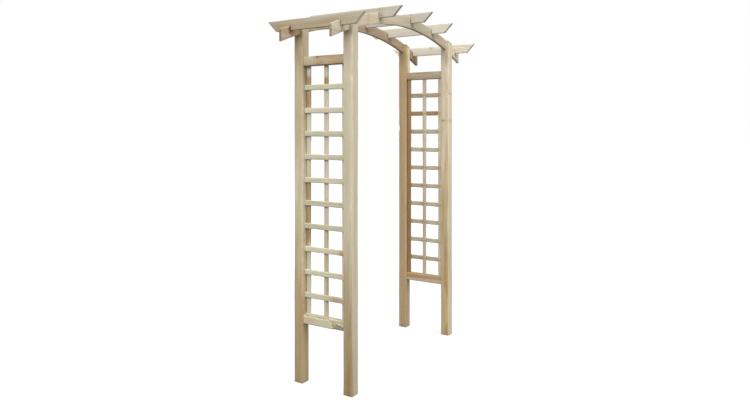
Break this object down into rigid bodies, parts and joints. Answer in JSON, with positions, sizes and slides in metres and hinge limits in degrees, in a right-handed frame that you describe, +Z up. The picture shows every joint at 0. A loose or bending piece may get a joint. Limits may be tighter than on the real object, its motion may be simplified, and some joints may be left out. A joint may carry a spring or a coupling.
{
  "type": "wooden garden arch",
  "caption": "Free-standing timber garden arch: slotted corner posts carry curved beams with rafters halved across them, and a rung-and-lath trellis closes each side.",
  "frame": {"origin": "on the ground, at the middle of the arch's footprint", "axes": "+Z up, +X across the walkway from the left side panel to the right one, +Y along the walkway from the front to the back"},
  "size_m": [1.62, 0.682, 2.2498],
  "materials": {
    "post_timber": "planed softwood with eased edges, pressure treated to a pale grey-green, unpainted",
    "beam_timber": "sawn and planed softwood board, pressure treated, unpainted",
    "rafter_timber": "planed softwood board, pressure treated, unpainted",
    "rail_timber": "planed softwood bar, pressure treated, knotty, unpainted",
    "trellis_timber": "planed softwood laths with eased edges, pressure treated, unpainted"
  },
  "bodies": {
    "root": {"left_front_post": "post_timber", "left_back_post": "post_timber", "right_front_post": "post_timber", "right_back_post": "post_timber", "front_arched_beam": "beam_timber", "back_arched_beam": "beam_timber", "left_end_rafter": "rafter_timber", "left_rafter": "rafter_timber", "middle_rafter": "rafter_timber", "right_rafter": "rafter_timber", "right_end_rafter": "rafter_timber", "left_top_rail": "rail_timber", "left_bottom_rail": "rail_timber", "right_top_rail": "rail_timber", "right_bottom_rail": "rail_timber", "left_trellis": "trellis_timber", "right_trellis": "trellis_timber"}
  },
  "joints": []
}
